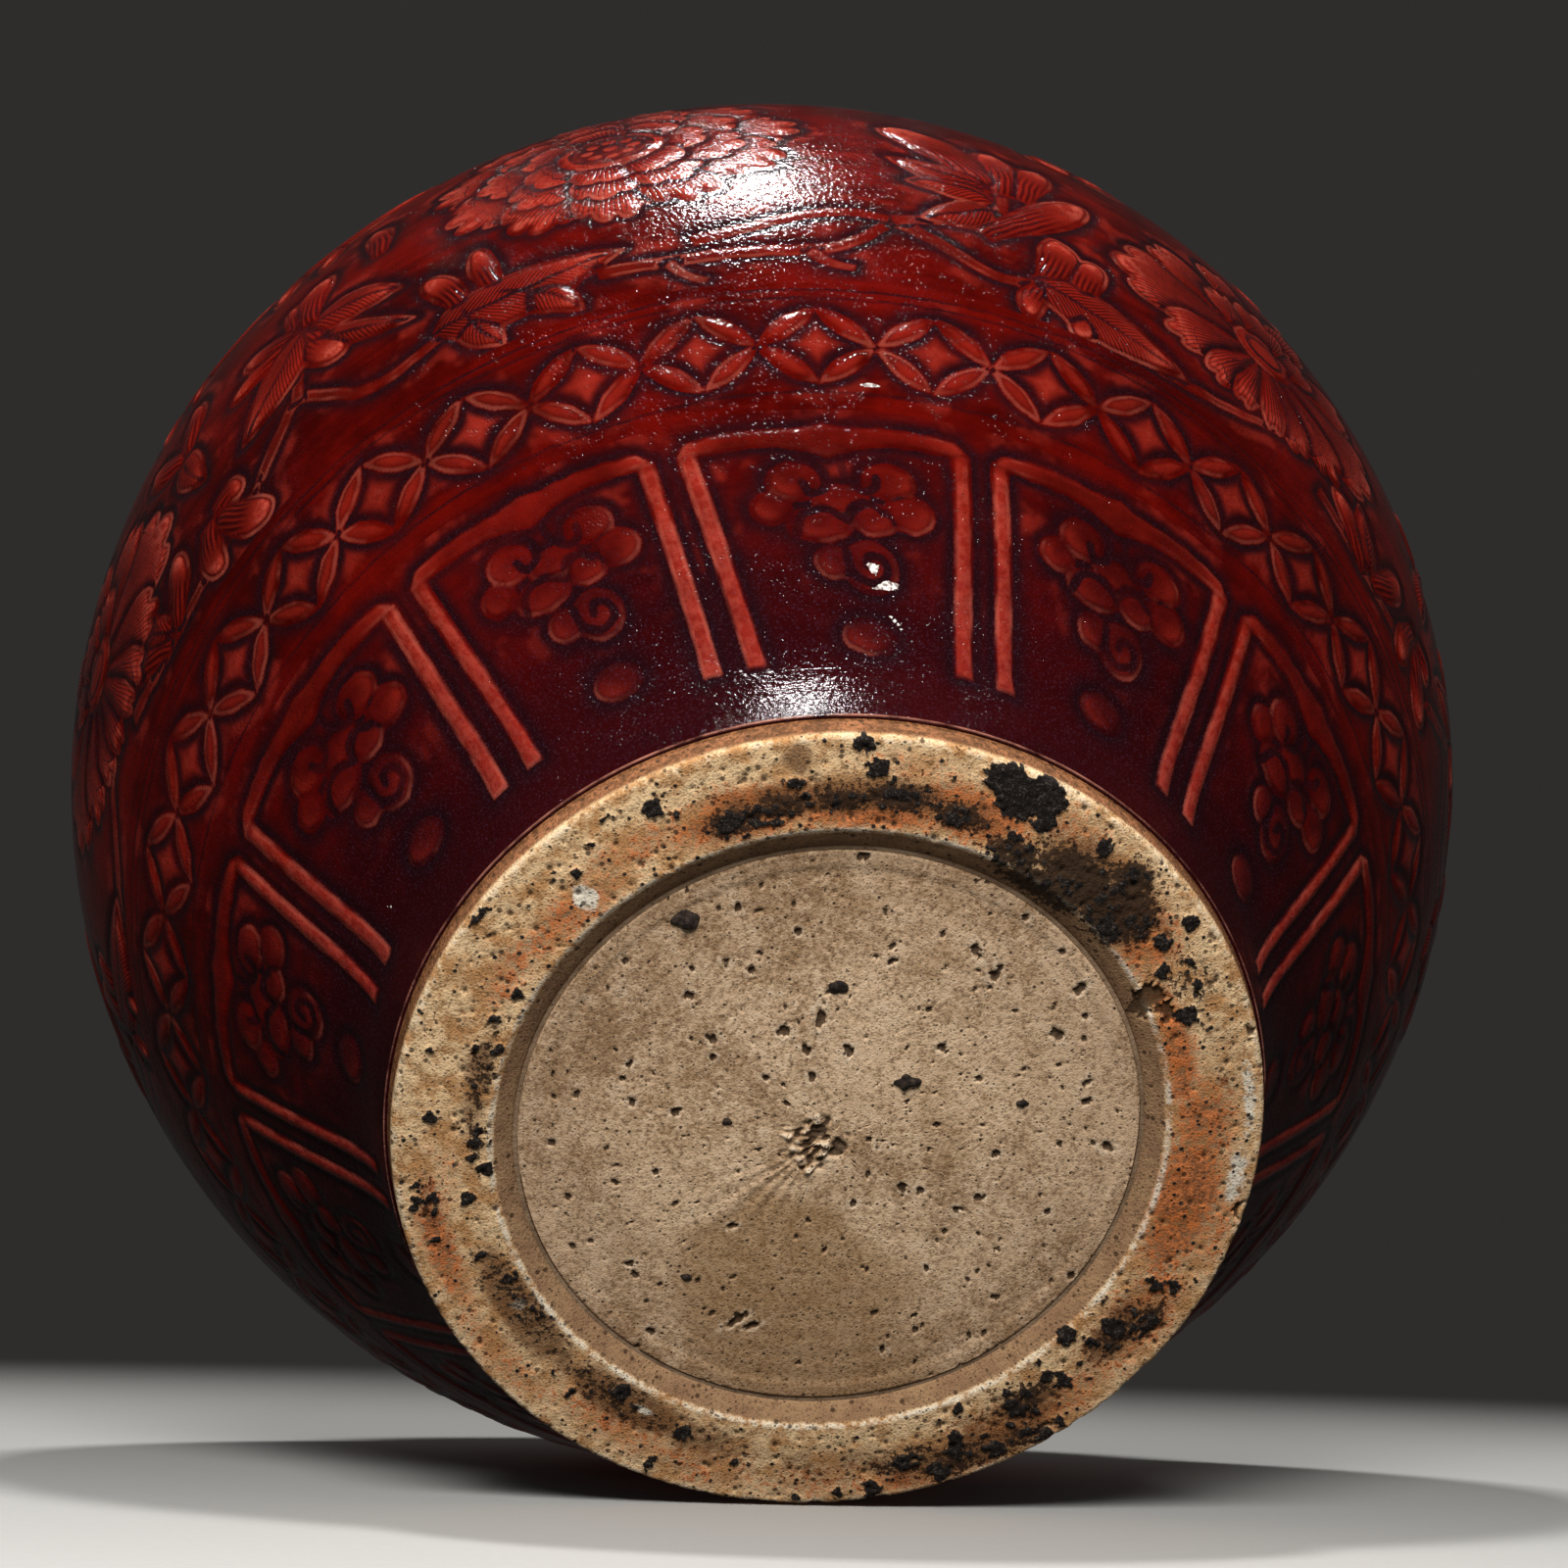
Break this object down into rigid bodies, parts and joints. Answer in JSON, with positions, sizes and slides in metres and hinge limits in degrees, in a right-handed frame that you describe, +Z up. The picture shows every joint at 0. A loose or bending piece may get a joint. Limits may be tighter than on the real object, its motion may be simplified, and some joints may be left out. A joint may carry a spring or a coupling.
{
  "type": "glazed jar",
  "caption": "Broad-shouldered stoneware storage jar with a short neck, rolled lip and bare foot ring, its red-glazed outside carved with lotus panels, a coin band and a peony scroll.",
  "frame": {"origin": "centre of the plane that the foot ring rests on", "axes": "+Z up along the jar's axis to its mouth; -Y is the side of the jar that is uppermost in the picture, and a lotus panel is centred on it"},
  "size_m": [0.3409, 0.341, 0.288],
  "materials": {
    "base_clay": "bare fired clay, pitted",
    "foot_clay": "bare fired clay with an orange flush",
    "body_clay": "fired clay under glaze",
    "slip": "fired slip",
    "red_glaze": "glossy copper-red glaze",
    "pale_glaze": "glossy bluish-white glaze",
    "grit": "fused iron-rich kiln grit"
  },
  "bodies": {
    "root": {"base_disc": "base_clay", "base_lute": "slip", "foot_ring": "foot_clay", "foot_lute": "slip", "lower_body": "body_clay", "belly_lute": "slip", "upper_body": "body_clay", "neck_lute": "slip", "neck_ring": "body_clay", "outer_glaze": "red_glaze", "inner_glaze": "pale_glaze", "kiln_grit": "grit"}
  },
  "joints": []
}
